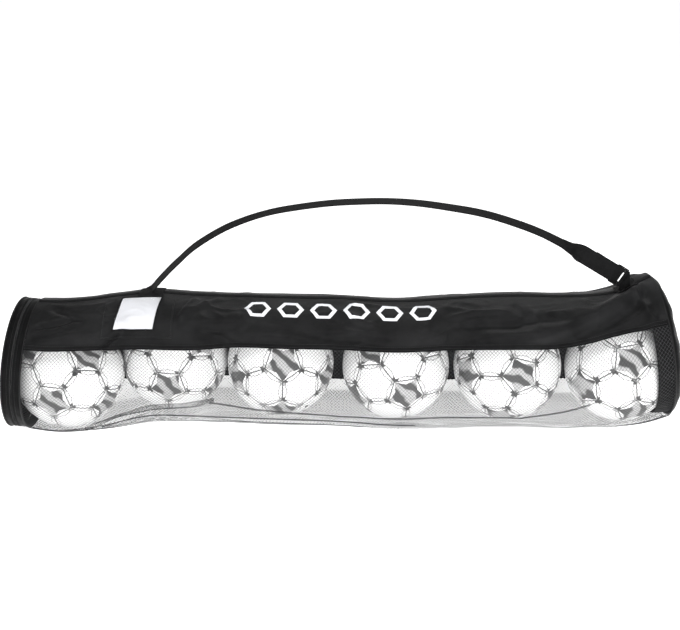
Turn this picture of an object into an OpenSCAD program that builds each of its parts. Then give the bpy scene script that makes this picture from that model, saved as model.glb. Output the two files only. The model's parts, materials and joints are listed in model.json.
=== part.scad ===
/* [Balls] */
// Diameter of each ball
ball_d = 218; // [214:1:219]
// Thickness of a ball's cover and backing
ball_wall = 2.8; // [2:0.1:4]
// Radius of the valve in each ball
valve_r = 3.4; // [2.5:0.1:5]

/* [Bag] */
// Thickness of the nylon and mesh panels
cloth = 2; // [1.5:0.1:2]
// Thickness of bindings, hems and patches
trim = 1.4; // [0.8:0.1:2]
// Width of a sewn binding or hem, in degrees round the tube
hem_deg = 4; // [2:0.5:6]
// Angle of the front panel's lower edge, from the back level
front_edge = 150; // [140:1:156]
// Angle of the back panel's lower edge
back_edge = -38; // [-45:1:-30]

/* [Mouth and end flap] */
// Distance of the zip's plane from the frame's origin
mouth_x = 628; // [626:1:632]
// Lean of the mouth's plane towards the bag
mouth_lean = 6; // [0:1:8]
// Radius on the inside of the zip's teeth
zip_r = 127.6; // [126:0.1:128]
// Height of the flap's dome above the zip's plane
dome_h = 38; // [37:1:45]
// Arc of the zip
zip_arc = 310; // [280:5:320]
// Gap between the moving flap and the bag
flap_gap = 0.7; // [0.6:0.1:1]

/* [Far end] */
// Distance of the closed end's rim from the frame's origin
far_x = 648; // [646:1:652]
// Lean of the closed end towards the bag
far_lean = 9; // [0:1:11]
// Height of the closed end's dome
far_dome = 34; // [33:1:40]

/* [Shoulder strap] */
// Width of the webbing
web_w = 36; // [30:1:38]
// Thickness of the webbing
web_t = 2; // [1.6:0.1:2.4]
// Length of the loose tail
tail_len = 75; // [60:5:90]

/* [Hidden] */
$fn = 64;

// The tube's sections: place along the bag, then sideways offset, height of centre and radius.
offset_y = [[-628, -50], [-552, -46], [-500, -34], [-450, -14], [-385, 16], [-300, 28], [-122, 20], [0, 12],
    [114, 4], [342, 7], [460, 2], [552, -3], [660, -3]];
centre_z = [[-628, 131.5], [-552, 124], [-450, 121], [-385, 119], [-300, 109], [-122, 106],
    [0, 107], [114, 103], [230, 108], [342, 112], [552, 120], [610, 133], [648, 149]];
radius = [[-628, 129.4], [-552, 135], [-450, 138], [-300, 138], [-122, 139], [114, 138],
    [230, 140], [552, 141], [610, 143], [660, 144]];

// Balls: place along the bag, sideways and up
balls = [[-545, -58, 111.6], [-344, 28, 111.6], [-122, -4, 111.6], [114, -19, 111.6],
    [342, -20, 111.6], [569, -28, 111.6]];
// Direction of each ball's valve, as turns about the long axis and about the vertical
valve_turns = [[70, 20], [200, -30], [130, 40], [250, 10], [20, -20], [160, 30]];

mouth_c = [-mouth_x, -50, 131.5];
far_c = [far_x, -3, 149];
mouth_end = -608;
far_end = 646;
lean_reach = 150;
ball_r = ball_d / 2;

// Zip, seen along its own axis: teeth stand out from a tape that lies inside them
tooth_h = 2.4;
tooth_w = 1.85;
tape_t = 0.7;
tape_w = 9;
band_gap = 6;
band_w = 16;
band_t = 1.8;
pipe_r = 1.6;
zip_open = (360 - zip_arc) / 2;
slider_at = 53;
slider_len = 18;
slider_r = zip_r + tooth_h + 0.8;
pin_r = 1;
pin_h = 3.6;
pull_len = 34;

// Strap: it swings about a line from the left stub's top to the middle of the right stub
hinge_left = [-361, 24, 287];
hinge_right = [575, 1.45, 287];
strap_end_y = -5;
buckle_c = [559, 1.45, 298];
buckle_turn = 211;
strap_path = [[-356.5, 292], [-349, 300], [-322, 326], [-299, 347.3], [-259, 374.5], [-228, 391.5],
    [-198, 404.5], [-168, 415.5], [-138, 424.5], [-78, 436.5], [-19, 444], [40, 447], [99, 448],
    [158, 445], [218, 437], [277, 426], [337, 409], [397, 387], [430, 371], [445, 363], [459, 355],
    [473, 348], [487, 341.3]];
// The webbing's turn about its own length: 0 lies level and 90 faces the front
strap_twist = [[-372, 16], [-150, 7], [100, 7], [400, 15], [440, 19], [462, 32], [486, 90]];
bar_r = 1.75;
end_bar_r = 1;
bar_s = 11;
frame_w = 44;
frame_l = 26;
frame_t = 3.6;

function sec(x) = [lookup(x, offset_y), lookup(x, centre_z), lookup(x, radius)];
function lean_at(x) = x < 0
    ? tan(mouth_lean) * max(0, 1 - (x - mouth_end) / lean_reach)
    : -tan(far_lean) * max(0, 1 - (far_end - x) / lean_reach);
function tube_point(x, a, out, low) =
    let (s = sec(x), r = s[2] + out, z = max(low, s[1] + r * sin(a)))
    [x + lean_at(x) * (z - s[1]), s[0] + r * cos(a), z];

// A closed sheet over part of the tube, between two places, two angles and two offsets
module sheet(x0, x1, a0, a1, inner, outer, nx, na) {
    w = na + 1;
    layer = (nx + 1) * w;
    inner_low = max(0, -inner);
    pts = concat(
        [for (i = [0:nx]) for (j = [0:na])
            tube_point(x0 + (x1 - x0) * i / nx, a0 + (a1 - a0) * j / na, outer, 0)],
        [for (i = [0:nx]) for (j = [0:na])
            tube_point(x0 + (x1 - x0) * i / nx, a0 + (a1 - a0) * j / na, inner, inner_low)]);
    tops = [for (i = [0:nx - 1]) for (j = [0:na - 1]) each
        [[i * w + j, (i + 1) * w + j, (i + 1) * w + j + 1],
         [i * w + j, (i + 1) * w + j + 1, i * w + j + 1]]];
    unders = [for (f = tops) [f[2] + layer, f[1] + layer, f[0] + layer]];
    ends = [for (j = [0:na - 1]) each
        [quad(j, j + 1, layer), quad(nx * w + j + 1, nx * w + j, layer)]];
    sides = [for (i = [0:nx - 1]) each
        [quad((i + 1) * w, i * w, layer), quad(i * w + na, (i + 1) * w + na, layer)]];
    faces = concat(tops, unders, [for (q = concat(ends, sides)) each
        [[q[0], q[1], q[2]], [q[0], q[2], q[3]]]]);
    polyhedron(points = pts, faces = faces);
}
function quad(a, b, layer) = [a, b, b + layer, a + layer];

// The mouth's own frame: Z points out of the bag, X up and Y to the back
module at_mouth() translate(mouth_c) rotate([0, mouth_lean, 0]) rotate([0, -90, 0]) children();
module at_far() translate(far_c) rotate([0, -far_lean, 0]) rotate([0, 90, 0]) children();
module at_buckle() translate(buckle_c) rotate([0, buckle_turn, 0]) rotate([90, 0, 0]) children();

// A ring of rectangular section, or part of one, from height h0 to h1
module ring(r0, r1, h0, h1, start = 0, arc = 360)
    rotate([0, 0, start]) rotate_extrude(angle = arc, $fn = 128)
        translate([r0, h0]) square([r1 - r0, h1 - h0]);
module pipe(r, h) rotate_extrude($fn = 128) translate([r, h]) circle(r = pipe_r, $fn = 24);
function cap_r(r, rise) = (r * r + rise * rise) / (2 * rise);
module dome(r, rise, t) {
    big = cap_r(r, rise);
    rotate_extrude($fn = 128) intersection() {
        translate([0, rise - big]) difference() {
            circle(r = big, $fn = 256);
            circle(r = big - t, $fn = 256);
        }
        square([r + t, rise + t]);
    }
}

module front_panel() color("#26272a")
    sheet(mouth_end, far_end, 90, front_edge, -cloth, 0, 26, 10);
module back_panel() color("#232427")
    sheet(mouth_end, far_end, back_edge, 90, -cloth, 0, 26, 16);
module mesh_panel() color("#8d8f92")
    sheet(mouth_end, far_end, front_edge, 360 + back_edge, -cloth, 0, 26, 20);
module ridge_binding() color("#1b1c1e")
    sheet(mouth_end, far_end, 90 - hem_deg / 2, 90 + hem_deg / 2, 0.3, trim, 26, 1);
module front_hem() color("#18191b")
    sheet(mouth_end, far_end, front_edge - hem_deg, front_edge, 0.3, trim, 26, 2);
module back_hem() color("#18191b")
    sheet(mouth_end, far_end, back_edge, back_edge + hem_deg, 0.3, trim, 26, 2);

module mouth_band() color("#1d1e20") at_mouth()
    ring(zip_r, zip_r + band_t, -band_w, -band_gap);
module mouth_tape() color("#151617") at_mouth()
    ring(zip_r - 0.1 - tape_t, zip_r - 0.1, -tape_w, -flap_gap / 2);
module mouth_teeth() color("#2c2d30") at_mouth()
    ring(zip_r, zip_r + tooth_h, -flap_gap / 2 - tooth_w, -flap_gap / 2, 90 + zip_open, zip_arc);
module mouth_piping() color("#121314") at_mouth() pipe(zip_r + pipe_r + 0.2, -band_w - 1.8);
module zip_stops() color("#8f9297") at_mouth()
    for (a = [90 + zip_open - 2.1, 90 - zip_open + 0.1])
        ring(zip_r, zip_r + tooth_h + 0.4, -flap_gap / 2 - tooth_w, -flap_gap / 2, a, 2);
module flap_hinge() color("#1b1c1e") at_mouth()
    ring(zip_r + band_t + 0.2, zip_r + band_t + 1, -14, -flap_gap, 72, 36);

module far_end_panel() color("#202124") at_far() dome(139, far_dome, cloth);
module far_band() color("#1b1c1e") at_far() ring(135.6, 137.2, -20, -0.4);
module far_piping() color("#121314") at_far() pipe(142.2, 0.4);

// The name window's three layers share one grid, so their faces stay parallel
module label_pocket() color("#1a1b1d") sheet(-462, -332, 101, 141, 1.7, 2.2, 13, 16);
module label_card() color("#f2f2f0") sheet(-442, -362, 103.5, 136, 2.3, 2.6, 8, 13);
module label_window() color("#dfe3e6") sheet(-442, -352, 103.5, 138.5, 2.7, 3.1, 9, 14);

module left_patch() color("#17181a") sheet(-404, -358, 80, 100, trim + 1.2, trim + 2.3, 2, 4);
module right_patch() color("#17181a") sheet(570, 612, 80, 100, trim + 1.4, trim + 2.5, 2, 4);
// A standing end of webbing: its foot and top in the plane of the strap, and its width's tilt
module stub(foot, top, y, w) translate([0, y + w / 2, 0]) rotate([90, 0, 0])
    linear_extrude(w) polygon([foot, [foot[0] + web_t * 1.4, foot[1]],
        [top[0] + web_t * 1.4, top[1]], top]);
module left_stub() color("#17181a") stub([-381, 262.6], [-364, 284], 24, web_w);
// The right stub is a flat tab that faces the front
module right_stub() color("#17181a") translate([0, buckle_c[1] + web_t, 0]) rotate([90, 0, 0])
    linear_extrude(web_t * 2) polygon([[568.5, 276.4], [583, 300], [592, 290], [596, 281.8], [567, 272.8]]);

module ball_shell(i) color("#f3f3f1") translate(balls[i]) difference() {
    sphere(r = ball_r, $fn = 96);
    sphere(r = ball_r - ball_wall, $fn = 96);
    rotate([valve_turns[i][0], 0, valve_turns[i][1]]) cylinder(r = valve_r, h = ball_r + 1);
}
module ball_1() ball_shell(0);
module ball_2() ball_shell(1);
module ball_3() ball_shell(2);
module ball_4() ball_shell(3);
module ball_5() ball_shell(4);
module ball_6() ball_shell(5);
module ball_valves() color("#2b2b2b") for (i = [0:5]) translate(balls[i])
    rotate([valve_turns[i][0], 0, valve_turns[i][1]]) translate([0, 0, ball_r - ball_wall - 3])
        cylinder(r = valve_r - 0.05, h = ball_wall + 2.7);

module flap_gusset() color("#1d1e20") at_mouth()
    ring(zip_r, zip_r + band_t, band_gap, band_w);
module flap_tape() color("#151617") at_mouth()
    ring(zip_r - 0.1 - tape_t, zip_r - 0.1, flap_gap / 2, tape_w);
module flap_teeth() color("#2c2d30") at_mouth()
    ring(zip_r, zip_r + tooth_h, flap_gap / 2, flap_gap / 2 + tooth_w, 90 + zip_open, zip_arc);
module flap_dome() color("#202124") at_mouth() translate([0, 0, band_w + 0.1])
    dome(zip_r, dome_h - band_w, cloth);
module flap_piping() color("#121314") at_mouth() pipe(zip_r + pipe_r + 0.2, band_w + 1.8);

// Zip slider: a plate over both rows of teeth, with a lip down the bag's side of them
module at_slider() at_mouth() rotate([0, 0, slider_at]) children();
slider_deg = slider_len / slider_r * 180 / PI;
module slider_plate() color("#a9acb1") at_mouth() {
    ring(slider_r, slider_r + 1.4, -5, 5, slider_at - slider_deg / 2, slider_deg);
    ring(zip_r + 0.5, slider_r, -5, -2.7, slider_at - slider_deg / 2, slider_deg);
}
module slider_ears() color("#b4b7bb") at_slider() for (h = [-3.4, 1.6]) difference() {
    translate([slider_r + 1.45, -3.5, h]) cube([pin_h + 1.6, 7, 1.8]);
    translate([slider_r + 1.4 + pin_h, 0, h - 1]) cylinder(r = pin_r + 0.02, h = 4);
}
module slider_pin() color("#8f9297") at_slider() translate([slider_r + 1.4 + pin_h, 0, -3.9])
    cylinder(r = pin_r, h = 7.8);
// The pull hangs from the pin, down the bag's back
module pull_tab() color("#a0a3a8") at_slider() translate([slider_r + 1.4 + pin_h, 0, 0])
    rotate([0, 0, 9]) difference() {
        union() {
            translate([0, 0, -1.2]) cylinder(r = 2.4, h = 2.4);
            translate([-1, 0, -1.2]) cube([2, 9, 2.4]);
            translate([-1, 7, -4]) cube([2, pull_len - 7, 8]);
        }
        translate([0, 0, -2]) cylinder(r = pin_r + 0.06, h = 4);
        translate([-3, pull_len - 8, 0]) rotate([0, 90, 0]) cylinder(r = 2, h = 6);
    }

// Strap webbing: a flat band swept along its path, nearly level at first and facing front at last
function strap_y(x) = hinge_left[1]
    + (strap_end_y - hinge_left[1]) * (x - hinge_left[0]) / (hinge_right[0] - hinge_left[0]);
function twist_at(x) = lookup(x, strap_twist);
function path_dir(i) =
    let (n = len(strap_path) - 1, d = strap_path[min(n, i + 1)] - strap_path[max(0, i - 1)])
    d / norm(d);
function strap_ring(i) =
    let (p = strap_path[i], d = path_dir(i), a = twist_at(p[0]), c = [p[0], strap_y(p[0]), p[1]],
        up = [-d[1], 0, d[0]], across = [0, 1, 0] * cos(a) + up * sin(a),
        face = up * cos(a) - [0, 1, 0] * sin(a))
    [for (k = [[-1, -1], [1, -1], [1, 1], [-1, 1]])
        c + across * k[0] * web_w / 2 + face * k[1] * web_t / 2];
module strap_webbing() color("#1c1d1f") {
    n = len(strap_path);
    pts = [for (i = [0:n - 1]) each strap_ring(i)];
    walls = [for (i = [0:n - 2]) for (k = [0:3]) each
        [[i * 4 + k, i * 4 + (k + 1) % 4, (i + 1) * 4 + (k + 1) % 4],
         [i * 4 + k, (i + 1) * 4 + (k + 1) % 4, (i + 1) * 4 + k]]];
    last = (n - 1) * 4;
    polyhedron(points = pts, faces = concat(walls, [[3, 2, 1], [3, 1, 0],
        [last, last + 1, last + 2], [last, last + 2, last + 3]]));
}
// The strap's end in the buckle's frame: X up along the strap, Z to the front
loop_in = 3;
loop_t = 1.5;
strap_run = 83;
module strap_loop() color("#1c1d1f") at_buckle() {
    rotate([90, 0, 0]) translate([0, 0, -web_w / 2]) difference() {
        cylinder(r = loop_in + loop_t, h = web_w);
        translate([0, 0, -1]) cylinder(r = loop_in, h = web_w + 2);
        translate([0, -10, -1]) cube([20, 20, web_w + 2]);
    }
    translate([0, -web_w / 2, loop_in]) cube([strap_run, web_w, loop_t]);
    translate([0, -web_w / 2, -loop_in - loop_t]) cube([3, web_w, loop_t]);
}
module strap_tail() color("#1c1d1f") at_buckle()
    translate([4, -web_w / 2, -loop_in - loop_t]) cube([tail_len, web_w, loop_t]);
module buckle_frame() color("#101112") at_buckle() difference() {
    translate([-frame_l / 2, -frame_w / 2, -frame_t / 2]) cube([frame_l, frame_w, frame_t]);
    translate([-frame_l / 2 - 1, -web_w / 2 - 1.5, -frame_t / 2 - 1])
        cube([frame_l + 2, web_w + 3, frame_t + 2]);
}
module buckle_bars() color("#141516") at_buckle() for (s = [-1:1])
    translate([s * bar_s, -web_w / 2 - 1.45, 0]) rotate([-90, 0, 0])
        cylinder(r = s == 1 ? end_bar_r : bar_r, h = web_w + 2.9);
// The short loop of webbing round the buckle's lower bar
module tab_loop() color("#17181a") at_buckle() translate([-bar_s, 0, 0]) {
    rotate([90, 0, 0]) translate([0, 0, -web_w / 2]) difference() {
        cylinder(r = bar_r + 0.1 + loop_t, h = web_w);
        translate([0, 0, -1]) cylinder(r = bar_r + 0.1, h = web_w + 2);
    }
}

front_panel();
back_panel();
mesh_panel();
ridge_binding();
front_hem();
back_hem();
mouth_band();
mouth_tape();
mouth_teeth();
mouth_piping();
zip_stops();
flap_hinge();
far_end_panel();
far_band();
far_piping();
label_pocket();
label_card();
label_window();
left_patch();
left_stub();
right_patch();
right_stub();
ball_1();
ball_2();
ball_3();
ball_4();
ball_5();
ball_6();
ball_valves();
flap_gusset();
flap_tape();
flap_teeth();
flap_dome();
flap_piping();
slider_plate();
slider_ears();
slider_pin();
pull_tab();
strap_webbing();
strap_loop();
buckle_frame();
buckle_bars();
tab_loop();
strap_tail();
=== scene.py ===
"""A mesh ball bag with six balls: nylon tube, net belly, zipped end flap and shoulder strap."""
import json
from itertools import combinations
from math import atan2, cos, pi, radians, sin, sqrt, tan

import bmesh
import bpy
import numpy as np
from mathutils import Euler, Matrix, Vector


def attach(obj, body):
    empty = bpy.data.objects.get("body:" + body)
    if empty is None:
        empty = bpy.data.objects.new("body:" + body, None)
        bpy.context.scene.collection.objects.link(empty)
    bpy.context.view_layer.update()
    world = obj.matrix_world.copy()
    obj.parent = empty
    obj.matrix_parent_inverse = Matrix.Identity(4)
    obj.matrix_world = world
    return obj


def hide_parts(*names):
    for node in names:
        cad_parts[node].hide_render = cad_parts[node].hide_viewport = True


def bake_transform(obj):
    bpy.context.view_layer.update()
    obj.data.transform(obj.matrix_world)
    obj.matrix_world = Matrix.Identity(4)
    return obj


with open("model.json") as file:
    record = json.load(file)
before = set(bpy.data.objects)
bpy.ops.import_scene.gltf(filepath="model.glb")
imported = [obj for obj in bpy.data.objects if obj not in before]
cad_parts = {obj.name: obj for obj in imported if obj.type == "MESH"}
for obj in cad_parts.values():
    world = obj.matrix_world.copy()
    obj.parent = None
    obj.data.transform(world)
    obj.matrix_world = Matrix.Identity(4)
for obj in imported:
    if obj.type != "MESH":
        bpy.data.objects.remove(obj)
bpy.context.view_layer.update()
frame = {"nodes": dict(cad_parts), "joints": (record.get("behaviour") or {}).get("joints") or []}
JOINTS = {j["name"]: j for j in frame["joints"]}
MM = 0.001

# ---- design values, in metres
BALL_R = 0.109
BALLS = [(-0.545, -0.058, 0.1116), (-0.344, 0.028, 0.1116), (-0.122, -0.004, 0.1116),
         (0.114, -0.019, 0.1116), (0.342, -0.020, 0.1116), (0.569, -0.028, 0.1116)]
BALL_TURNS = [(20, 14, 30), (75, 40, 10), (130, -25, 60), (250, 30, 15), (310, 65, 130), (15, 100, 200)]

# The tube's sections: place along the bag, sideways offset, height of centre, radius
SECTIONS = np.array([
    (-0.628, -0.050, 0.1315, 0.1294), (-0.552, -0.046, 0.124, 0.135), (-0.500, -0.034, 0.1225, 0.1365),
    (-0.450, -0.014, 0.121, 0.138), (-0.385, 0.016, 0.119, 0.138), (-0.300, 0.028, 0.110, 0.138),
    (-0.122, 0.020, 0.106, 0.139), (0.000, 0.012, 0.1065, 0.1385), (0.114, 0.004, 0.1035, 0.138),
    (0.230, 0.0055, 0.108, 0.140), (0.342, 0.007, 0.112, 0.141), (0.460, 0.002, 0.1125, 0.141),
    (0.552, -0.003, 0.120, 0.141), (0.610, -0.003, 0.133, 0.143), (0.648, -0.003, 0.149, 0.1438)])
TUBE_X0, TUBE_X1 = -0.608, 0.646
LEAN_REACH = 0.15  # how far from each end the tube takes up its lean
FRONT_EDGE, BACK_EDGE, RIDGE = 150.0, -38.0, 90.0
HEM_DEG = 4.0
CLOTH_T = 0.0008  # the thickness of nylon and tape, with the air between their layers
# At places along the bag, how many degrees lower than FRONT_EDGE the front hem lies
HEM_SHIFT = np.array([
    (-0.60, -0.50, -0.44, -0.38, -0.30, -0.20, -0.10, 0.20, 0.42, 0.476, 0.535, 0.580, 0.610, 0.646),
    (-3.5, -2.5, 0.0, 3.0, 2.0, -2.0, -2.0, -2.5, -2.0, -5.3, -10.5, -11.5, -10.0, -7.0)])
NET_CELL = 0.0070
NET_R = 0.00033

# The zipped mouth, in its own frame: X up, Y to the back, Z out of the bag
ZIP_R = 0.1276
BAND = (0.006, 0.016)
DOME_H = 0.038
HINGE_HALF_DEG = 18.0
ZIP_ARC = (115.0, 425.0)
TOOTH_PITCH = 0.0024
FAR_CENTRE = Vector((0.648, -0.003, 0.149))
MOUTH_LEAN, FAR_LEAN = 6.0, 9.0  # how many degrees the two ends lean back
FAR_R = 0.1395
FAR_DOME = 0.025
END_LIFT = 0.006  # how far the top of the closed end stands above a true circle

WEB_W = 0.036
STRAP_PATH = [(-0.3565, 0.292), (-0.349, 0.300), (-0.322, 0.326), (-0.299, 0.3473), (-0.259, 0.3745),
              (-0.228, 0.3915), (-0.198, 0.4045), (-0.168, 0.4155), (-0.138, 0.4245), (-0.078, 0.4365),
              (-0.019, 0.444), (0.040, 0.447), (0.099, 0.448), (0.158, 0.445), (0.218, 0.437),
              (0.277, 0.426), (0.337, 0.409), (0.397, 0.387), (0.430, 0.371), (0.445, 0.363),
              (0.459, 0.355), (0.473, 0.348), (0.487, 0.3413)]
LOOP_IN, LOOP_T = 0.003, 0.0015
BAR_S = 0.011


# ---- small maths helpers
def spline(xs, ys, x):
    """A smooth curve through the points (xs, ys), at x."""
    slopes = np.gradient(ys, xs)
    i = np.clip(np.searchsorted(xs, x) - 1, 0, len(xs) - 2)
    h = xs[i + 1] - xs[i]
    t = (x - xs[i]) / h
    return ((2 * t**3 - 3 * t**2 + 1) * ys[i] + (t**3 - 2 * t**2 + t) * h * slopes[i]
            + (3 * t**2 - 2 * t**3) * ys[i + 1] + (t**3 - t**2) * h * slopes[i + 1])


def smooth(lo, hi, x):
    t = np.clip((x - lo) / (hi - lo), 0, 1)
    return t * t * (3 - 2 * t)


def bump(x, centre, width):
    return np.exp(-((x - centre) / width) ** 2)


def units(vectors):
    """The rows of vectors, each made one unit long."""
    return vectors / np.maximum(np.linalg.norm(vectors, axis=1), 1e-9)[:, None]


def distances(points):
    """How far along a line of points each one lies."""
    return np.r_[0, np.cumsum(np.linalg.norm(np.diff(points, axis=0), axis=1))]


def lean_at(x):
    left = tan(radians(MOUTH_LEAN)) * np.clip(1 - (x - TUBE_X0) / LEAN_REACH, 0, 1)
    right = tan(radians(FAR_LEAN)) * np.clip(1 - (TUBE_X1 - x) / LEAN_REACH, 0, 1)
    return left - right


def fold(x, a, x0, a0, x1, a1, width, depth, above=1.0):
    """A crease along the line from (x0, a0) to (x1, a1), with a as metres round the tube.

    Its upper side is above times as wide as its lower side."""
    d = np.array([x1 - x0, a1 - a0])
    long = np.hypot(*d)
    d = d / long
    along = ((x - x0) * d[0] + (a - a0) * d[1]) / long
    across = (x - x0) * -d[1] + (a - a0) * d[0]
    ends = smooth(-0.15, 0.2, along) * (1 - smooth(0.8, 1.15, along))
    return depth * ends * np.exp(-(across / np.where(across < 0, width * above, width)) ** 2)


ARC = pi / 180 * 0.139  # metres round the tube for each degree
KNOTS = np.random.RandomState(11).uniform(-1, 1, (4, 64, 64))


def random_hills(u, v, layer):
    """Smooth random heights from -1 to 1, with one knot for each unit of u and v."""
    table = KNOTS[layer]
    i, j = np.floor(u).astype(int), np.floor(v).astype(int)
    fu, fv = (t * t * (3 - 2 * t) for t in (u - i, v - j))
    a, b = table[i % 64, j % 64], table[(i + 1) % 64, j % 64]
    c, d = table[i % 64, (j + 1) % 64], table[(i + 1) % 64, (j + 1) % 64]
    return (a * (1 - fu) + b * fu) * (1 - fv) + (c * (1 - fu) + d * fu) * fv


def crumple(x, a):
    """Sharp soft-edged wrinkles of two sizes, which run more along the bag than round it."""
    wx = x + 0.020 * random_hills(x * 21, a * 19, 0)
    wa = a + 0.016 * random_hills(x * 17 + 5, a * 23, 1)
    big = 1 - np.abs(random_hills(wx * 11 + wa * 9, wa * 24 - wx * 5, 2))
    small = 1 - np.abs(random_hills(wx * 30 - wa * 14, wa * 52 + wx * 9, 3))
    return 0.0058 * (big**2 - 0.45) + 0.0016 * (small**2 - 0.45) * (0.4 + big)


def slackness(x):
    """How loose the cloth is: 0 over the middle of each ball and 1 between two of them."""
    near = np.min([np.abs(x - b[0]) for b in BALLS], axis=0)
    return smooth(0.01, 0.10, near)


def creases(x, deg):
    """How far the nylon stands out from the plain tube: its big folds, as the bag lies."""
    a = deg * ARC
    d = crumple(x, a) * (0.35 + 0.65 * slackness(x)) * (1 - 0.75 * bump(deg, 74, 14))
    d += END_PUFF * smooth(0.588, 0.614, x) * bump(deg, 64, 20)
    d += STRAP_PULL * bump(x, -0.435, 0.03) * bump(deg, 103, 12)
    for x0, a0, x1, a1, *size in FOLDS:
        d += FOLD_GAIN * fold(x, a, x0, a0 * ARC, x1, a1 * ARC, *size)
    return d


FOLD_GAIN = 2.0
END_PUFF = 0.008  # how far the stuffed end stands up behind the ridge
STRAP_PULL = 0.004  # how far the strap's left foot lifts the cloth beside it
# Each fold: start (place, degrees), end (place, degrees), width, height above the tube, and for some
# how many times wider its upper side is
FOLDS = [
    (0.35, 147, 0.625, 103, 0.011, 0.0062, 3.0), (0.44, 148, 0.62, 122, 0.008, 0.0020),
    (0.50, 120, 0.63, 96, 0.012, 0.004), (0.33, 128, 0.45, 124, 0.010, -0.003),
    (-0.315, 130, -0.19, 127, 0.011, 0.0055, 2.6), (-0.32, 128, -0.29, 100, 0.008, 0.0030),
    (-0.20, 136, -0.06, 139, 0.012, 0.0025), (-0.465, 149, -0.43, 137, 0.006, -0.0045),
    (-0.30, 118, -0.24, 96, 0.008, 0.003), (-0.60, 128, -0.52, 119, 0.007, -0.0035),
    (-0.57, 104, -0.50, 121, 0.008, -0.003), (-0.60, 141, -0.50, 133, 0.010, 0.0028),
    (0.215, 118, 0.33, 114, 0.009, 0.0028), (0.22, 127, 0.36, 131, 0.009, -0.0028),
    (0.26, 139, 0.38, 137, 0.008, 0.0024), (0.345, 106, 0.37, 128, 0.008, -0.0014),
    (0.375, 108, 0.39, 130, 0.007, 0.0014), (0.595, 100, 0.625, 140, 0.007, 0.003),
    (0.612, 98, 0.64, 138, 0.006, -0.0012), (-0.08, 136, 0.10, 141, 0.009, -0.002),
    (-0.50, 20, -0.30, 40, 0.014, -0.004), (-0.20, 60, 0.05, 30, 0.016, -0.0035),
    (0.10, 10, 0.30, 35, 0.014, -0.004), (0.35, 60, 0.58, 20, 0.016, -0.005),
    (0.42, 30, 0.62, 70, 0.012, 0.0035), (-0.58, 55, -0.44, 10, 0.012, 0.003),
    (-0.10, 5, 0.02, -20, 0.010, 0.003), (0.20, -10, 0.40, -25, 0.010, -0.003),
]
# The net's own folds, in the same form
NET_FOLDS = [
    (-0.56, 228, -0.40, 214, 0.0045, 0.0070), (-0.42, 210, -0.26, 198, 0.0045, 0.0060),
    (-0.40, 236, -0.05, 236, 0.0035, 0.0050), (-0.25, 218, 0.02, 222, 0.0035, 0.0045),
    (0.00, 222, 0.24, 230, 0.0035, 0.0045), (0.22, 232, 0.48, 226, 0.0035, 0.0045),
    (0.40, 236, 0.62, 226, 0.004, 0.0055),
]


def tube(x, deg, out=0.0, folds=True):
    """Points of the bag's skin, at places x along it and angles deg round it, out metres proud."""
    x, deg = np.broadcast_arrays(x, deg)
    plain = deg
    deg = deg + spline(*HEM_SHIFT, x) * bump(deg, FRONT_EDGE, 32)
    xs = SECTIONS[:, 0]
    y0, zc, r = (spline(xs, SECTIONS[:, k], x) for k in (1, 2, 3))
    hold = smooth(TUBE_X0, TUBE_X0 + 0.03, x) * (1 - smooth(TUBE_X1 - 0.03, TUBE_X1, x))
    hold = hold * (smooth(BACK_EDGE - 6, BACK_EDGE + 10, plain)
                   * (1 - smooth(FRONT_EDGE - 8, FRONT_EDGE + 6, plain)))
    hold = hold * (1 - 0.93 * bump(plain, RIDGE, 7))
    if folds and hold.any():
        r = r + hold * creases(x, deg)
    if folds and np.any(deg > FRONT_EDGE + 6):
        loose = smooth(FRONT_EDGE + 10, FRONT_EDGE + 40, deg) * (1 - smooth(262, 300, deg))
        for x0, a0, x1, a1, *size in NET_FOLDS:
            r = r + loose * fold(x, deg * ARC, x0, a0 * ARC, x1, a1 * ARC, *size)
    rad = np.radians(deg)
    r = r + out
    y = y0 + r * np.cos(rad)
    z = zc + r * np.sin(rad) + END_LIFT * smooth(0.590, 0.626, x) * np.maximum(np.sin(rad), 0) ** 1.5
    floor, soft = 0.0008 + out, 0.004
    z = np.where(z < floor + soft, floor + soft * np.exp(np.minimum((z - floor - soft) / soft, 0)), z)
    return np.stack([x + lean_at(x) * (z - zc), y, z], -1)


# ---- mesh helpers
def make(name, verts, faces, mat, body, uv=None, replaces=(), slot=None, angle=40, tones=None):
    """A mesh piece that rides on a body, of one material or of a list that tones picks from.

    uv is one (u, v) for each vertex, in metres."""
    me = bpy.data.meshes.new(name)
    me.from_pydata([tuple(map(float, v)) for v in verts], [], [tuple(map(int, f)) for f in faces])
    me.validate()
    for m in (mat if tones else [mat]):
        me.materials.append(m)
    if tones:
        me.polygons.foreach_set("material_index", tones)
    if uv is not None:
        layer = me.uv_layers.new(name="cloth")
        loops = np.zeros(len(me.loops), dtype=np.int32)
        me.loops.foreach_get("vertex_index", loops)
        layer.data.foreach_set("uv", np.asarray(uv, dtype=np.float32)[loops].ravel())
    me.shade_smooth()
    me.set_sharp_from_angle(angle=radians(angle))
    ob = bpy.data.objects.new(name, me)
    bpy.context.scene.collection.objects.link(ob)
    if body:
        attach(ob, body)
    if replaces:
        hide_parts(*replaces)
    return ob


def grid_faces(nu, nv, wrap_u=False, wrap_v=False, start=0, flip=False):
    i = np.arange(nu if wrap_u else nu - 1)
    j = np.arange(nv if wrap_v else nv - 1)
    i, j = (g.ravel() for g in np.meshgrid(i, j, indexing="ij"))
    i2, j2 = (i + 1) % nu, (j + 1) % nv
    f = np.stack([i * nv + j, i2 * nv + j, i2 * nv + j2, i * nv + j2], 1) + start
    return f[:, ::-1] if flip else f


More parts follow.
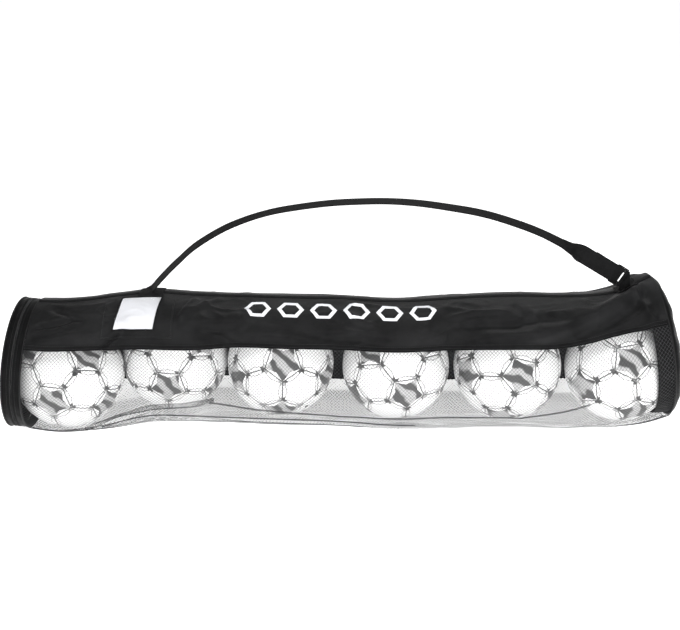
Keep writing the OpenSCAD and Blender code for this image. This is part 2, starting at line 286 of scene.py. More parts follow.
def slab(name, top, under, mat, body, uv, wrap_u=False, **kw):
    """A closed sheet between two grids of points."""
    nu, nv = top.shape[:2]
    n = nu * nv
    verts = np.concatenate([top.reshape(-1, 3), under.reshape(-1, 3)])
    faces = [grid_faces(nu, nv, wrap_u), grid_faces(nu, nv, wrap_u, start=n, flip=True)]
    k = np.arange(nu if wrap_u else nu - 1)
    k2 = (k + 1) % nu
    j = np.arange(nv - 1)
    rims = [(k * nv, k2 * nv, -1), (k * nv + nv - 1, k2 * nv + nv - 1, 1)]
    if not wrap_u:
        rims += [(j, j + 1, 1), (n - nv + j, n - nv + j + 1, -1)]
    faces += [np.stack([a, a + n, b + n, b], 1)[:, ::way] for a, b, way in rims]
    return make(name, verts, np.concatenate(faces), mat, body,
                uv=np.concatenate([uv.reshape(-1, 2)] * 2), **kw)


def cloth_patch(name, x0, x1, a0, a1, out, thick, mat, body="bag", nx=None, na=None, skew=0.0, **kw):
    """A sheet that lies on the bag's skin between two places and two angles."""
    nx = nx or max(3, int((x1 - x0) / 0.006))
    na = na or max(3, int((a1 - a0) / 2.0))
    x, a = np.meshgrid(np.linspace(x0, x1, nx), np.linspace(a0, a1, na), indexing="ij")
    x = x - skew * (a - (a0 + a1) / 2)
    uv = np.stack([x, a * ARC], -1)
    return slab(name, tube(x, a, out + thick), tube(x, a, out), mat, body, uv, **kw)


def sweep(points, radius, sides=6, closed=False):
    """Vertices and faces of a round tube along points."""
    p = np.asarray(points, float)
    n = len(p)
    d = units(np.roll(p, -1, 0) - np.roll(p, 1, 0) if closed else np.gradient(p, axis=0))
    up = np.array([0.0, 0.0, 1.0]) if abs(d[0][2]) < 0.9 else np.array([0.0, 1.0, 0.0])
    side = np.cross(up, d[0])
    verts = []
    for k in range(n):
        side = side - d[k] * side.dot(d[k])
        side /= np.linalg.norm(side)
        other = np.cross(d[k], side)
        r = radius[k] if np.ndim(radius) else radius
        for s in range(sides):
            t = 2 * pi * s / sides
            verts.append(p[k] + r * (cos(t) * side + sin(t) * other))
    faces = list(grid_faces(n, sides, wrap_u=closed, wrap_v=True))
    if not closed:
        faces += [tuple(range(sides)), tuple(range((n - 1) * sides, n * sides))[::-1]]
    return verts, faces


def weld(ob, near, turn=False):
    """Joins the points of a piece that lie together. turn makes its faces all look outwards."""
    bm = bmesh.new()
    bm.from_mesh(ob.data)
    bmesh.ops.remove_doubles(bm, verts=bm.verts, dist=near)
    bmesh.ops.delete(bm, geom=[e for e in bm.edges if e.is_wire], context="EDGES")
    if turn:
        bmesh.ops.recalc_face_normals(bm, faces=bm.faces)
    bm.to_mesh(ob.data)
    bm.free()


def joined(parts):
    verts, faces, at = [], [], 0
    for v, f in parts:
        verts += list(v)
        faces += [tuple(i + at for i in face) for face in f]
        at += len(v)
    return verts, faces


STITCH, STITCH_GAP, STITCH_R = 0.0028, 0.0012, 0.00035


def stitches(name, lines, body, slot):
    """Rows of short stitches along lines of points with normals, with a little lift at their middle."""
    parts = []
    for p, normal in lines:
        step = distances(p)
        at = np.arange(0, step[-1] - STITCH, STITCH + STITCH_GAP)
        lift = np.array([-0.2, 0.9, 0.9, -0.2]) * STITCH_R
        for row in np.stack([at, at + STITCH * 0.3, at + STITCH * 0.7, at + STITCH], 1):
            q = np.stack([np.interp(row, step, p[:, k]) for k in range(3)], 1)
            nn = np.stack([np.interp(row, step, normal[:, k]) for k in range(3)], 1)
            parts.append(sweep(q + nn * lift[:, None], np.array([0.45, 1, 1, 0.45]) * STITCH_R, 4))
    make(name, *joined(parts), THREAD, body, slot=slot)


def skin_line(x, deg, out):
    """A line on the skin with its normals, for stitches."""
    p = tube(x, deg, out)
    return p, units(tube(x, deg, out + 0.001) - p)


# ---- materials
class Shader:
    """A Principled material whose varying inputs are built from small node chains."""

    def __init__(self, name, **sockets):
        self.mat = bpy.data.materials.new(name)
        self.mat.use_nodes = True
        self.nt = self.mat.node_tree
        self.bsdf = self.nt.nodes["Principled BSDF"]
        for key, value in sockets.items():
            self.bsdf.inputs[key.replace("_", " ")].default_value = value
        coord = self.nt.nodes.new("ShaderNodeTexCoord")
        self.uv, self.obj = coord.outputs["UV"], coord.outputs["Object"]
        self.height = None

    def node(self, kind, links=(), **values):
        n = self.nt.nodes.new(kind)
        for key, value in values.items():
            if hasattr(n, key):
                setattr(n, key, value)
            else:
                n.inputs[key.replace("_", " ")].default_value = value
        for src, dst in links:
            self.nt.links.new(src, n.inputs[dst])
        return n

    def noise(self, coord, scale, detail=4.0, rough=0.55):
        return self.node("ShaderNodeTexNoise", [(coord, "Vector")], Scale=scale, Detail=detail,
                         Roughness=rough).outputs["Fac"]

    def wave(self, coord, period, axis="X", distortion=0.0):
        """Parallel ridges, period metres apart."""
        return self.node("ShaderNodeTexWave", [(coord, "Vector")], bands_direction=axis,
                         Scale=2 * pi / (20 * period), Distortion=distortion).outputs["Fac"]

    def maths(self, op, a, b):
        n = self.node("ShaderNodeMath", operation=op)
        for k, v in enumerate((a, b)):
            if isinstance(v, (int, float)):
                n.inputs[k].default_value = v
            else:
                self.nt.links.new(v, n.inputs[k])
        return n.outputs[0]

    def ramp(self, fac, stops):
        n = self.node("ShaderNodeValToRGB", [(fac, "Fac")])
        while len(n.color_ramp.elements) < len(stops):
            n.color_ramp.elements.new(0.5)
        for e, (at, colour) in zip(n.color_ramp.elements, stops):
            e.position = at
            e.color = (*colour, 1) if hasattr(colour, "__len__") else (colour, colour, colour, 1)
        return n.outputs["Color"]

    def colour(self, socket):
        self.nt.links.new(socket, self.bsdf.inputs["Base Color"])

    def roughness(self, fac, low, high):
        r = self.node("ShaderNodeMapRange", [(fac, "Value")], To_Min=low, To_Max=high)
        self.nt.links.new(r.outputs[0], self.bsdf.inputs["Roughness"])

    def bump(self, height, distance, strength=1.0):
        n = self.node("ShaderNodeBump", [(height, "Height")], Distance=distance, Strength=strength)
        if self.height is not None:
            self.nt.links.new(self.height, n.inputs["Normal"])
        self.height = n.outputs["Normal"]
        self.nt.links.new(self.height, self.bsdf.inputs["Normal"])


def mix_grey(dark, light, tint=(1.0, 1.01, 1.05)):
    return [(0.3, tuple(dark * t for t in tint)), (0.7, tuple(light * t for t in tint))]


def nylon(name, dark, light, sheen, thread=0.0007, shine=0.2):
    """Plain-weave nylon: threads both ways, cloudy colour and small soft creases."""
    s = Shader(name, Sheen_Weight=sheen, Sheen_Roughness=0.45, Specular_IOR_Level=shine)
    weave = s.maths("MULTIPLY", s.wave(s.uv, thread, "X"), s.wave(s.uv, thread, "Y"))
    cloud = s.noise(s.uv, 9.0, 6.0, 0.62)
    s.colour(s.ramp(s.maths("ADD", s.maths("MULTIPLY", cloud, 0.85), s.maths("MULTIPLY", weave, 0.15)),
                    mix_grey(dark, light)))
    s.roughness(cloud, 0.36, 0.50)
    s.bump(s.noise(s.uv, 38.0, 5.0, 0.6), 0.0016, 0.55)
    s.bump(weave, 0.00012, 0.6)
    return s.mat


def tape(name, dark, light, rib, dull=False):
    """Narrow woven tape with ribs and a cloudy tone."""
    s = Shader(name, Sheen_Weight=0.0 if dull else 0.04, Sheen_Roughness=0.5,
               Specular_IOR_Level=0.10 if dull else 0.22)
    ribs = s.wave(s.uv, rib, "Y")
    cloud = s.noise(s.uv, 60.0, 4.0)
    s.colour(s.ramp(s.maths("ADD", s.maths("MULTIPLY", cloud, 0.7), s.maths("MULTIPLY", ribs, 0.3)),
                    mix_grey(dark, light)))
    s.roughness(cloud, 0.5, 0.72)
    s.bump(ribs, 0.0003, 0.8)
    s.bump(s.noise(s.uv, 900.0, 2.0), 0.0002, 0.4)
    return s.mat


def moulded(name, dark, light, rough, bump_mm=0.05, **sockets):
    """Moulded plastic, cast metal or rubber: a fine grain and faint handling marks."""
    s = Shader(name, **sockets)
    grain = s.noise(s.obj, 420.0, 4.0)
    marks = s.noise(s.obj, 60.0, 6.0, 0.7)
    s.colour(s.ramp(marks, mix_grey(dark, light)))
    s.roughness(s.maths("ADD", s.maths("MULTIPLY", grain, 0.4), s.maths("MULTIPLY", marks, 0.6)),
                rough - 0.09, rough + 0.09)
    s.bump(grain, bump_mm * MM, 0.5)
    return s.mat


def ball_cover(name, dark, light, streak=False):
    """Pebbled polyurethane, with a faint scuffing or a printed pattern of streaks."""
    s = Shader(name, Coat_Weight=0.25, Coat_Roughness=0.22)
    pebble = s.node("ShaderNodeTexVoronoi", [(s.obj, "Vector")], Scale=620.0).outputs["Distance"]
    scuff = s.noise(s.obj, 34.0, 6.0, 0.7)
    tone = s.wave(s.obj, 0.021, "DIAGONAL", 7.0) if streak else scuff
    s.colour(s.ramp(tone, mix_grey(dark, light, (1.0, 1.0, 1.0))))
    s.roughness(scuff, 0.26, 0.46)
    s.bump(pebble, 0.00025, 0.35)
    return s.mat


NYLON = nylon("nylon", 0.003, 0.014, sheen=0.04, shine=0.10)
# A darker, duller copy of the nylon for the ends and zip bands: its darker colour is painted shade on
# the sides of the bag that face away from the lights
NYLON_PAINTED_SHADE = nylon("nylon_painted_shade", 0.002, 0.007, sheen=0.02, shine=0.05)
NET = tape("net_thread", 0.035, 0.07, 0.0009, dull=True)
BINDING = tape("binding", 0.003, 0.008, 0.0011, dull=True)
WEBBING = tape("webbing", 0.003, 0.007, 0.0022, dull=True)
PIPING = moulded("piping", 0.004, 0.010, 0.55, 0.2, Specular_IOR_Level=0.25)
THREAD = tape("thread", 0.02, 0.04, 0.0006)
COIL = moulded("zip_coil", 0.02, 0.035, 0.36)
METAL = moulded("zip_metal", 0.42, 0.6, 0.3, 0.04, Metallic=1.0)
PLASTIC = moulded("buckle_plastic", 0.006, 0.011, 0.42, 0.03, Specular_IOR_Level=0.3)
RUBBER = moulded("rubber", 0.02, 0.035, 0.6)
PRINT = nylon("white_print", 0.76, 0.86, sheen=0.0)
CARD = nylon("card", 0.62, 0.70, sheen=0.0, thread=0.0011)
BALL_WHITE = ball_cover("ball_white", 0.80, 0.88)
BALL_GREY = ball_cover("ball_grey", 0.07, 0.42, streak=True)
BALL_LINE = ball_cover("ball_line", 0.05, 0.09)


def clear_sheet(name):
    """Soft clear plastic, a little cloudy and rippled."""
    s = Shader(name, Roughness=0.14, Alpha=0.09, IOR=1.45)
    s.colour(s.ramp(s.noise(s.uv, 30.0), mix_grey(0.35, 0.5)))
    s.bump(s.noise(s.uv, 45.0, 2.0), 0.0006, 0.4)
    return s.mat


CLEAR = clear_sheet("clear_window")


# ---- camera, light and floor
TARGET = Vector((0.0, 0.0, 0.2138))
FLOOR_GLOW = 0.85
FLOOR_HALF = 45.0
SKY = ((0.10, 1.0), (0.42, 0.09))  # the sky's grey at two heights, from horizon (0) to overhead (1)
LIGHTS = (  # name, azimuth, elevation, distance, width, depth, power
    ("strip_front", -12, 62, 2.2, 2.6, 0.22, 30.0), ("strip_back", 165, 48, 2.4, 2.2, 0.25, 16.0),
    ("fill", 8, 10, 3.4, 2.6, 0.6, 150.0))


def aimed(name, data, azimuth, elevation, distance):
    """A camera or a light that looks at TARGET."""
    ob = bpy.data.objects.new(name, data)
    bpy.context.scene.collection.objects.link(ob)
    a, e = radians(azimuth), radians(elevation)
    ob.location = TARGET + Vector((sin(a) * cos(e), -cos(a) * cos(e), sin(e))) * distance
    ob.rotation_euler = (TARGET - ob.location).to_track_quat("-Z", "Y").to_euler()
    return ob


def stage():
    scene = bpy.context.scene
    cam = bpy.data.cameras.new("camera")
    cam.sensor_width, cam.lens = 36.0, 56.6
    scene.camera = aimed("camera", cam, 0, 20, 2.175)
    scene.view_settings.view_transform = "Standard"
    scene.view_settings.look = "None"

    s = Shader("floor", Roughness=0.9, Emission_Color=(1, 1, 1, 1), Emission_Strength=FLOOR_GLOW)
    s.colour(s.ramp(s.noise(s.obj, 2.0), [(0.3, 0.93), (0.7, 0.96)]))
    corners = [(x * FLOOR_HALF, y * FLOOR_HALF, 0) for x, y in ((-1, -1), (1, -1), (1, 1), (-1, 1))]
    make("floor", corners, [(0, 1, 2, 3)], s.mat, None)

    scene.world = world = bpy.data.worlds.new("studio")
    world.use_nodes = True
    nt = world.node_tree
    background = nt.nodes["Background"]
    coord = nt.nodes.new("ShaderNodeTexCoord")
    split = nt.nodes.new("ShaderNodeSeparateXYZ")
    ramp = nt.nodes.new("ShaderNodeValToRGB")
    nt.links.new(coord.outputs["Generated"], split.inputs[0])
    nt.links.new(split.outputs["Z"], ramp.inputs["Fac"])
    nt.links.new(ramp.outputs["Color"], background.inputs["Color"])
    for e, (at, grey) in zip(ramp.color_ramp.elements, SKY):
        e.position, e.color = at, (grey, grey, grey, 1)
    background.inputs["Strength"].default_value = 1.0
    for name, az, el, dist, wide, deep, power in LIGHTS:
        light = bpy.data.lights.new(name, "AREA")
        light.shape = "RECTANGLE"
        light.energy, light.size, light.size_y = power, wide, deep
        # The fill leaves no glare on cloth that is seen edge-on
        aimed(name, light, az, el, dist).visible_glossy = name != "fill"


# ---- the bag's cloth
# Each tape: name, node, degrees, thickness, then its cord's degrees, height, radius, material and
# name, then how many degrees in from its edges its stitches are
TAPES = (
    ("front_hem", "front_hem", FRONT_EDGE - HEM_DEG, FRONT_EDGE, CLOTH_T,
     (FRONT_EDGE, 0.001, 0.0013, BINDING, "front_hem_roll"), 0.5, 0.9),
    ("back_hem", "back_hem", BACK_EDGE, BACK_EDGE + HEM_DEG, CLOTH_T,
     (BACK_EDGE, 0.001, 0.0013, BINDING, "back_hem_roll"), 0.5, 0.9),
    ("ridge", "ridge_binding", RIDGE - 2.6, RIDGE + 2.6, 0.0009,
     (RIDGE, 0.0018, 0.0017, PIPING, "ridge_piping"), 0.7, 0.7))


def bag_cloth():
    for side, low, high, nx, na in (("front", RIDGE, FRONT_EDGE, 380, 48),
                                    ("back", BACK_EDGE, RIDGE, 330, 84)):
        ob = cloth_patch(side + "_nylon", TUBE_X0, TUBE_X1, low, high, 0.0, CLOTH_T, NYLON, nx=nx,
                         na=na, replaces=[side + "_panel"], slot="nylon")
    x = np.linspace(TUBE_X0, TUBE_X1, 300)
    for name, node, low, high, thick, (deg, out, radius, mat, cord), low_in, high_in in TAPES:
        cloth_patch(name + "_tape", TUBE_X0, TUBE_X1, low, high, 0.0009, thick, BINDING, nx=300,
                    na=8 if name == "ridge" else 6, replaces=[node], slot="binding")
        make(cord, *sweep(tube(x, deg, out), radius, 8), mat, "bag",
             slot="piping" if mat is PIPING else "binding")
        stitches(name + "_stitches", [skin_line(x, a, 0.0018) for a in (low + low_in, high - high_in)],
                 "bag", "binding")


def net_threads(a0, a1, x0=TUBE_X0, x1=TUBE_X1, cell=NET_CELL, path=None, out=0.0):
    """The open net's vertices and faces between two angles, or that many degrees off a path.

    Two families of threads cross, passing over and under each other."""
    nt = int((x1 - x0) / cell * 2)
    na = int((a1 - a0) * ARC / cell * 2)
    step_x, step_a = (x1 - x0) / nt, (a1 - a0) / na
    parts, faces, at = [], [], 0
    for sign in (1, -1):
        first = -nt if sign == 1 else 0
        last = na if sign == 1 else na + nt
        for k in range(first + (first % 2), last + 1, 2):
            t = np.arange(0, nt + 1)
            row = k + sign * t
            keep = (row >= 0) & (row <= na)
            t, row = t[keep], row[keep]
            if len(t) < 2:
                continue
            x = x0 + t * step_x
            deg = a0 + row * step_a + (np.interp(x, *path) if path else 0.0)
            lift = np.where((t + (sign > 0)) % 2 == 0, 0.7, -0.3) * NET_R
            p, n = skin_line(x, deg, out + 0.0004)
            p = p + n * lift[:, None]
            b = np.cross(units(np.gradient(p, axis=0)), n)
            ring = np.stack([p + NET_R * (cos(w) * n + sin(w) * b)
                             for w in (pi / 2, pi * 7 / 6, pi * 11 / 6)], 1)
            m = len(t)
            parts.append(ring.reshape(-1, 3))
            faces += list(grid_faces(m, 3, wrap_v=True, start=at))
            faces += [(at, at + 1, at + 2), (at + 3 * m - 1, at + 3 * m - 2, at + 3 * m - 3)]
            at += 3 * m
    return np.concatenate(parts), faces


def net_piece(name, a0, a1, node=None):
    """One width of the net, sewn to the nylon's hems."""
    verts, faces = net_threads(a0, a1)
    ob = make(name, verts, faces, NET, "bag", slot="mesh", angle=80, uv=verts[:, :2],
              replaces=[node] if node else ())


# Painted shade: doubled net threads in dark bands below the balls, where their contact shadow falls:
# places and degrees round the tube
SHADE_TUCKS = (((-0.500, -0.445, -0.380, -0.315, -0.250), (223.0, 212.0, 205.0, 201.0, 194.0)),
         ((-0.260, -0.170, 0.000, 0.200, 0.360, 0.440, 0.490),
          (197.0, 203.0, 209.0, 208.0, 212.0, 203.0, 196.0)),
         ((-0.470, -0.300, -0.100, 0.150), (221.0, 216.0, 215.0, 219.0)))
SHADE_TUCK_HALF = (2.0, 1.0, 1.0)  # half of each one's width, in degrees
SHADE_TUCK_CELL = 0.0019


def net_shade_tucks():
    """Painted shade: narrow bands of doubled net threads, darker than the open net, where the balls'
    contact shadow falls.
    """
    for k, (path, half) in enumerate(zip(SHADE_TUCKS, SHADE_TUCK_HALF)):
        verts, faces = net_threads(-half, half, path[0][0], path[0][-1], SHADE_TUCK_CELL, path, 0.0012)
        # each band is doubled net drawn as painted shade below the balls
        make("net_shade_tuck_%d" % (k + 1), verts, faces, NET, "bag", slot="mesh", angle=80, uv=verts[:, :2])


# ---- the two ends
MOUTH = Vector(JOINTS["slider_run"]["pos_m"])
OUT = -Vector(JOINTS["slider_run"]["axis"]).normalized()
MOUTH_Y = Vector((0, 1, 0))
MOUTH_X = MOUTH_Y.cross(OUT).normalized()
FAR_OUT = Vector((cos(radians(FAR_LEAN)), 0, sin(radians(FAR_LEAN))))
FAR_X = Vector((-FAR_OUT.z, 0, FAR_OUT.x))


def ringpoint(centre, up, out, r, deg, h):
    """Points of a ring: radius r, deg from the top towards the back, h out of the bag."""
    r, deg, h = np.broadcast_arrays(r, deg, h)
    t = np.radians(deg)
    c, u, o, y = (np.array(v) for v in (centre, up, out, MOUTH_Y))
    return c + (r * np.cos(t))[..., None] * u + (r * np.sin(t))[..., None] * y + h[..., None] * o


def at_mouth(r, deg, h):
    return ringpoint(MOUTH, MOUTH_X, OUT, r, deg, h)


def at_far(r, deg, h):
    p = ringpoint(FAR_CENTRE, FAR_X, FAR_OUT, r, deg, h)
    lift = END_LIFT * np.maximum(np.cos(np.radians(deg)), 0) ** 1.5 * r / FAR_R
    return p + lift[..., None] * np.array(FAR_X)


def ring_sheet(name, place, prof, thick, mat, body, deg=(0, 360), n=220, pucker=0.0, **kw):
    """A band of cloth round an end, through the profile's (radius, height) points."""
    prof = np.asarray(prof, float)
    step = distances(prof)
    fine = np.linspace(0, step[-1], max(4, int(step[-1] / 0.0022)))
    r, h = np.interp(fine, step, prof[:, 0]), np.interp(fine, step, prof[:, 1])
    whole = deg[1] - deg[0] >= 360
    t = np.linspace(deg[0], deg[1], n, endpoint=not whole)
    tt, rr = np.meshgrid(t, r, indexing="ij")
    mid = np.sin(np.linspace(0, pi, len(fine)))[None, :]
    rr = rr + pucker * mid * (np.sin(np.radians(tt) * 23 + 1.1) + 0.6 * np.sin(np.radians(tt) * 41))
    uv = np.stack([np.radians(tt) * ZIP_R, np.broadcast_to(fine, tt.shape)], -1)
    return slab(name, place(rr + thick, tt, h), place(rr, tt, h), mat, body, uv, wrap_u=whole, **kw)


def dome_sheet(name, place, radius, base, rise, thick, mat, body, dent, sag=0.0, **kw):
    """The soft round end panel, pushed out by the ball behind it, and by sag less at its top."""
    nr, nt = 46, 160
    r = np.linspace(0.0, radius, nr)
    t = np.linspace(0, 360, nt, endpoint=False)
    tt, rr = np.meshgrid(t, r, indexing="ij")
    h = base + ((rise - sag * (0.5 + 0.5 * np.cos(np.radians(tt)) * rr / radius))
                * (1 - np.minimum(rr / radius, 1) ** 4) ** 0.55)
    hold = (1 - smooth(0.9, 1.0, rr / radius)) * smooth(0.15, 0.5, rr / radius)
    rad = np.radians(tt)
    h = h + hold * dent * (0.5 * np.sin(5 * rad + 0.6) * np.sin(3 * rr / radius + 1)
                           + 0.5 * np.sin(9 * rad + 8 * rr / radius) + 0.25 * np.sin(21 * rad + 2))
    uv = np.stack([rr * np.cos(rad), rr * np.sin(rad)], -1)
    weld(slab(name, place(rr, tt, h), place(rr, tt, h - thick), mat, body, uv, wrap_u=True, **kw), 1e-7)


def zip_row(name, side, body, node):
    """One side of the zip: a nylon coil, bent tooth by tooth round the mouth."""
    start, reach = ZIP_ARC[0], ZIP_ARC[1] - ZIP_ARC[0]
    n = int(radians(reach) * (ZIP_R + 0.0012) / TOOTH_PITCH)
    parts = []
    for k in range(n):
        deg = start + reach * (k + (0.5 if side > 0 else 0.0)) / n
        loop = [(0.0005, -0.15, 0.0022), (0.0004, -0.3, 0.0010), (0.0010, -0.12, 0.0008),
                (0.0019, 0.3, 0.0010), (0.0019, 0.15, 0.0022)]
        pts = [at_mouth(ZIP_R + r, deg + turn, side * h) for r, turn, h in loop]
        parts.append(sweep(pts, 0.00036, 5))
    make(name, *joined(parts), COIL, body, replaces=[node], slot="zip_teeth", angle=60)


def mouth():
    b0, b1 = BAND
    for tag, body, side, band in (("mouth", "bag", -1, "mouth_band"),
                                  ("flap", "end_flap", 1, "flap_gusset")):
        # the band cloth takes the darker nylon, as painted shade on the bag's end
        ring_sheet(tag + "_band_cloth", at_mouth,
                   [(ZIP_R + 0.0002, side * (b1 + 0.0006)), (ZIP_R + 0.0009, side * (b1 - 0.003)),
                    (ZIP_R + 0.0008, side * (b0 + 0.002)), (ZIP_R + 0.0002, side * b0)],
                   CLOTH_T, NYLON_PAINTED_SHADE, body, pucker=0.00025, replaces=[band], slot="nylon")
        ring_sheet(tag + "_zip_tape", at_mouth,
                   [(ZIP_R - 0.0008, side * 0.010), (ZIP_R - 0.0006, side * 0.0005)],
                   0.0006, BINDING, body, replaces=[tag + "_tape"], slot="zip_tape")
        zip_row(tag + "_coil", side, body, tag + "_teeth")
        t = np.linspace(0, 360, 500)
        p = at_mouth(ZIP_R + 0.0019, t, side * (b0 + 0.0014))
        q = at_mouth(ZIP_R + 0.0029, t, side * (b0 + 0.0014))
        stitches(tag + "_stitches", [(p, (q - p) / 0.001)], body, "zip_tape")
    # the flap takes the darker nylon, as painted shade on the bag's end
    dome_sheet("flap_cloth", at_mouth, ZIP_R + 0.0006, BAND[1], DOME_H - BAND[1] - 0.003, 0.0012,
               NYLON_PAINTED_SHADE, "end_flap", 0.0012, sag=0.011, replaces=["flap_dome"], slot="nylon")
    # the hinge takes the darker nylon, as painted shade on the bag's end
    strip = ring_sheet("hinge_cloth", at_mouth,
                       [(ZIP_R + 0.0024, -0.014), (ZIP_R + 0.0026, -0.004), (ZIP_R + 0.0029, 0.0),
                        (ZIP_R + 0.0026, 0.004), (ZIP_R + 0.0024, 0.014)], 0.0007, NYLON_PAINTED_SHADE, None,
                       deg=(90 - HINGE_HALF_DEG, 90 + HINGE_HALF_DEG), n=40, replaces=["flap_hinge"],
                       slot="nylon")
    tuple(at_mouth(ZIP_R + 0.0029, 90, -0.004))
    tuple(at_mouth(ZIP_R + 0.0029, 90, 0.004))
    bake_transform(strip)


def far_end():
    # the far end takes the darker nylon, as painted shade on the bag's end
    dome_sheet("far_end_cloth", at_far, FAR_R + 0.0015, 0.0, FAR_DOME, 0.0012, NYLON_PAINTED_SHADE, "bag",
               0.0022, replaces=["far_end_panel"], slot="nylon")
    t = np.linspace(0, 360, 260, endpoint=False)
    make("far_end_piping", *sweep(at_far(FAR_R + 0.0018, t, 0.0), 0.0017, 8, closed=True),
         PIPING, "bag", replaces=["far_piping"], slot="piping")
    # The inner band takes the darker, dull binding as painted shade, where the inside of the far end
    # lies in shadow
    ring_sheet("far_inner_band", at_far, [(0.1335, -0.032), (0.1352, -0.016), (0.1368, -0.0005)],
               CLOTH_T, BINDING, "bag", pucker=0.0006, replaces=["far_band"], slot="nylon")


# ---- balls
GOLDEN = (1 + sqrt(5)) / 2
SEAM_DEPTH = 0.0014


def football_faces():
    """The 12 pentagons and 20 hexagons of a football, each a loop of unit vectors round its middle."""
    ico = [Vector(v).normalized() for v in
           [(0, s, t * GOLDEN) for s in (1, -1) for t in (1, -1)]
           + [(s, t * GOLDEN, 0) for s in (1, -1) for t in (1, -1)]
           + [(t * GOLDEN, 0, s) for s in (1, -1) for t in (1, -1)]]
    edge = min((ico[0] - v).length for v in ico[1:]) * 1.1

    def round_loop(middle, points):
        side = middle.orthogonal().normalized()
        other = middle.cross(side)
        return sorted(points, key=lambda p: atan2(p.dot(other), p.dot(side)))

    faces = [(v, round_loop(v, [v.lerp(w, 1 / 3) for w in ico if 0 < (v - w).length < edge]))
             for v in ico]
    for trio in combinations(ico, 3):
        if all((a - b).length < edge for a, b in combinations(trio, 2)):
            mid = sum(trio, Vector()).normalized()
            thirds = [a.lerp(b, 1 / 3) for a in trio for b in trio if a is not b]
            faces.append((mid, round_loop(mid, thirds)))
    return faces


FACES = football_faces()
PER_EDGE = 6
WHITE, GREY, LINE = range(3)


def panel_rings(sides, corner):
    """How far out each ring of a panel lies, 0 to 1, where corner is 1 at a corner and 0 mid-edge."""
    if sides == 5:
        star = 0.74 + 0.24 * corner**1.3
        rings = [0.0, star * 0.3, star * 0.6, star * 0.85, star, star + 0.01, 0.955, 0.97, 0.985, 1.0]
        tones = [GREY] * 4 + [WHITE] * 3 + [LINE] * 2
        if corner > 0.8:
            tones[4:7] = [GREY, GREY, LINE]
    else:
        line = 0.78 + 0.10 * corner
        rings = [0.0, 0.2, 0.4, 0.6, line - 0.03, line, 0.93, 0.97, 0.985, 1.0]
        tones = [WHITE] * 4 + [LINE, WHITE, WHITE, LINE, LINE]
        if corner > 0.6:
            tones[5:7] = [GREY, GREY]
    return rings, tones


def ball(index):
    """A size 5 football of 32 panels with pressed seams, stars and corner marks."""
    verts, faces, tones = [], [], []
    turn = Euler([radians(a) for a in BALL_TURNS[index]]).to_matrix()
    for middle, loop in FACES:
        sides = len(loop)
        count = sides * PER_EDGE
        first = len(verts)
        columns = []
        for k in range(count):
            a, b = loop[k // PER_EDGE], loop[(k // PER_EDGE + 1) % sides]
            t = (k % PER_EDGE) / PER_EDGE
            columns.append((a.lerp(b, t), abs(2 * t - 1)))
        flat = middle * (sum(loop, Vector()) / sides).length
        marks = [panel_rings(sides, c) for _, c in columns]
        n_rings = len(marks[0][0])
        for (edge, _), (rings, _) in zip(columns, marks):
            for s in rings[1:]:
                depth = SEAM_DEPTH * smooth(0.93, 1.0, s) ** 1.2
                verts.append(flat.lerp(edge, s).normalized() * (BALL_R - depth))
        verts.append(middle * BALL_R)
        hub = len(verts) - 1
        m = n_rings - 1
        for k in range(count):
            k2 = (k + 1) % count
            tone = [p if p == q else WHITE for p, q in zip(marks[k][1], marks[k2][1])]
            faces.append((hub, first + k * m, first + k2 * m))
            tones.append(tone[0])
            for r in range(m - 1):
                faces.append((first + k * m + r, first + k * m + r + 1,
                              first + k2 * m + r + 1, first + k2 * m + r))
                tones.append(tone[r + 1])
    centre = Vector(BALLS[index])
    verts = [turn @ v + centre for v in verts]
    name = "ball_%d" % (index + 1)
    weld(make("foot" + name, verts, faces, [BALL_WHITE, BALL_GREY, BALL_LINE], "bag", replaces=[name],
              slot="ball", angle=80, tones=tones), 1e-5, turn=True)


def lathe(profile, centre, axis, sides=24):
    """Vertices and faces of a turned shape: (radius, height) points that start and end on its axis."""
    axis = Vector(axis).normalized()
    side = axis.orthogonal().normalized()
    other = axis.cross(side)
    centre = Vector(centre)
    verts, rings = [], []
    for r, h in profile:
        if r == 0:
            rings.append([len(verts)])
            verts.append(centre + axis * h)
            continue
        rings.append(list(range(len(verts), len(verts) + sides)))
        verts += [centre + axis * h + (side * cos(t) + other * sin(t)) * r
                  for t in (2 * pi * k / sides for k in range(sides))]
    faces = []
    for a, b in zip(rings, rings[1:]):
        for k in range(sides):
            quad = [a[k % len(a)], a[(k + 1) % len(a)], b[(k + 1) % len(b)], b[k % len(b)]]
            faces.append(tuple(dict.fromkeys(quad)))
    return verts, faces


VALVE_TURNS = [(70, 20), (200, -30), (130, 40), (250, 10), (20, -20), (160, 30)]


def valves():
    """The rubber valve of each ball: a rounded eyelet with a sunk middle."""
    profile = [(0, -0.003), (0.0036, -0.003), (0.0042, -0.0004), (0.0042, 0.0002), (0.0037, 0.0006),
               (0.0030, 0.0006), (0.0012, 0.0002), (0.0009, -0.0003), (0, -0.0004)]
    parts = []
    for centre, (a, b) in zip(BALLS, VALVE_TURNS):
        a, b = radians(a), radians(b)
        axis = Vector((sin(a) * sin(b), -sin(a) * cos(b), cos(a)))
        parts.append(lathe(profile, Vector(centre) + axis * BALL_R, axis))
    make("valve_eyelets", *joined(parts), RUBBER, "bag", replaces=["ball_valves"], slot="valve")


